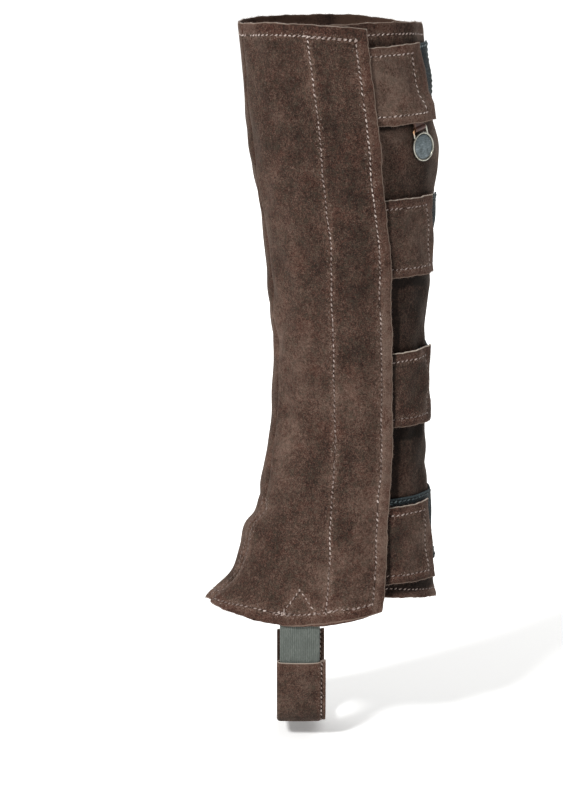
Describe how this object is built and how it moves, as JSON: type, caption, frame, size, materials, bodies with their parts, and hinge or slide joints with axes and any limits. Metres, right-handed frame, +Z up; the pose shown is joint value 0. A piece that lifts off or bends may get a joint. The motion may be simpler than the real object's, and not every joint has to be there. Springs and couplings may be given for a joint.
{
  "type": "suede half chap",
  "caption": "Worn, hollow suede half chap for the left leg, closed at the back by tabs on loop tape, with a boot strap and a hanging oval badge.",
  "frame": {"origin": "on the leg's axis at the calf's fullest level, where the wearer's calf holds the half chap", "axes": "+Z up the leg, -X the way the wearer faces, -Y the outer side of the left leg"},
  "size_m": [0.1602, 0.1185, 0.4848],
  "materials": {
    "suede": "napped dark brown suede",
    "loop_tape": "black loop tape",
    "elastic": "grey woven elastic",
    "loop_leather": "smooth brown leather",
    "badge_metal": "aged nickel with a bare enamel field"
  },
  "bodies": {
    "root": {"outer_panel": "suede", "inner_panel": "suede", "tab_1": "suede", "tab_2": "suede", "tab_3": "suede", "tab_4": "suede", "loop_patch_1": "loop_tape", "loop_patch_2": "loop_tape", "loop_patch_3": "loop_tape", "loop_patch_4": "loop_tape", "elastic_strap": "elastic", "strap_sleeve": "suede", "badge_loop": "loop_leather"},
    "badge_body": {"badge": "badge_metal"}
  },
  "joints": [
    {"name": "badge_swing", "type": "hinge", "parent": "root", "child": "badge_body", "pos_m": [0.04955, -0.03629, 0.01934], "axis": [-0.745, -0.6148, -0.2588], "range_deg": [0, 110]}
  ]
}
